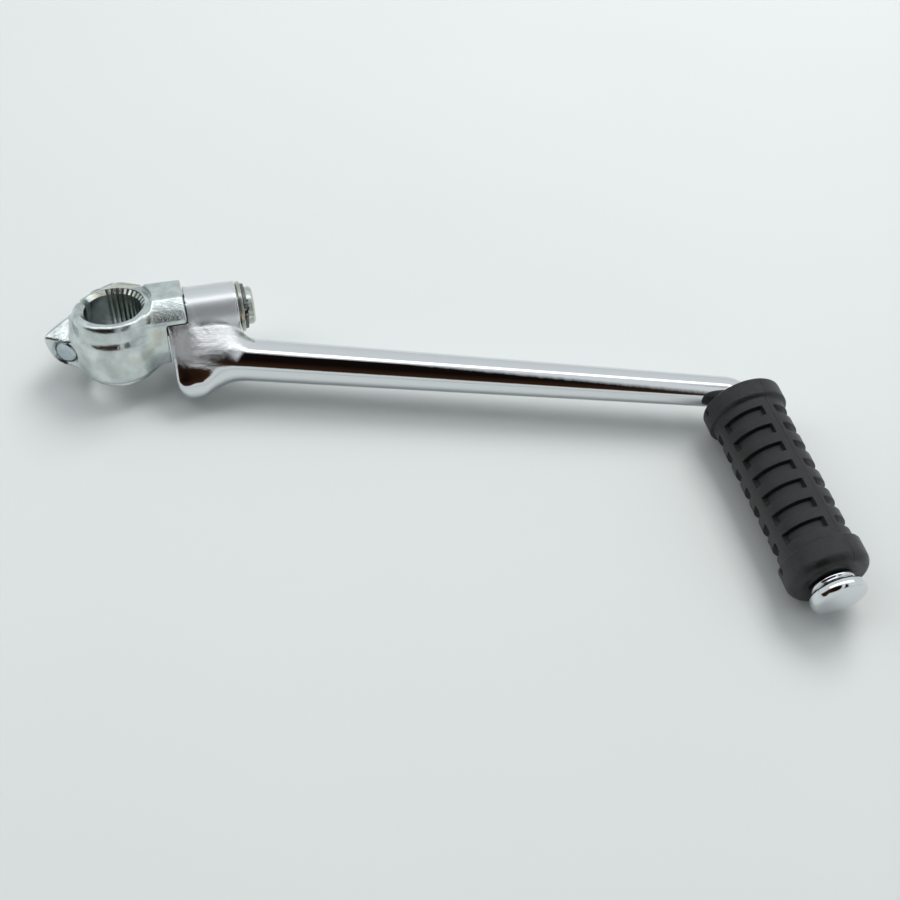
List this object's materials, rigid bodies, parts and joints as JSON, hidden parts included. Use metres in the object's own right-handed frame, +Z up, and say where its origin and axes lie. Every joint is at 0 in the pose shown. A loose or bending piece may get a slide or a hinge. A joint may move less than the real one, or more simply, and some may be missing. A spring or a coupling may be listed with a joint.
{
  "type": "kick start lever",
  "caption": "Folding kick start lever: a zinc plated splined clamp hub, a chrome plated round arm on a knuckle, and a ribbed black rubber pedal.",
  "frame": {"origin": "middle of the splined bore, on its axis", "axes": "+Z up from the table the lever lies on, +X along the knuckle axis towards the arm, -Y the way the pedal points"},
  "size_m": [0.2426, 0.1754, 0.0321],
  "materials": {
    "hub_zinc": "satin",
    "bolt_zinc": "satin",
    "washer_zinc": "satin",
    "spring_steel": "satin",
    "arm_chrome": "polished",
    "grip_rubber": "matte"
  },
  "bodies": {
    "hub": {"hub": "hub_zinc", "pinch_bolt": "bolt_zinc", "thrust_washer": "washer_zinc", "circlip": "spring_steel"},
    "arm": {"arm": "arm_chrome", "grip_rubber": "grip_rubber", "detent_ball": "spring_steel", "detent_spring": "spring_steel"}
  },
  "joints": [
    {"name": "fold", "type": "hinge", "parent": "hub", "child": "arm", "pos_m": [0, 0.0016, 0.00558], "axis": [1, 0, 0], "range_deg": [0, 74]}
  ]
}
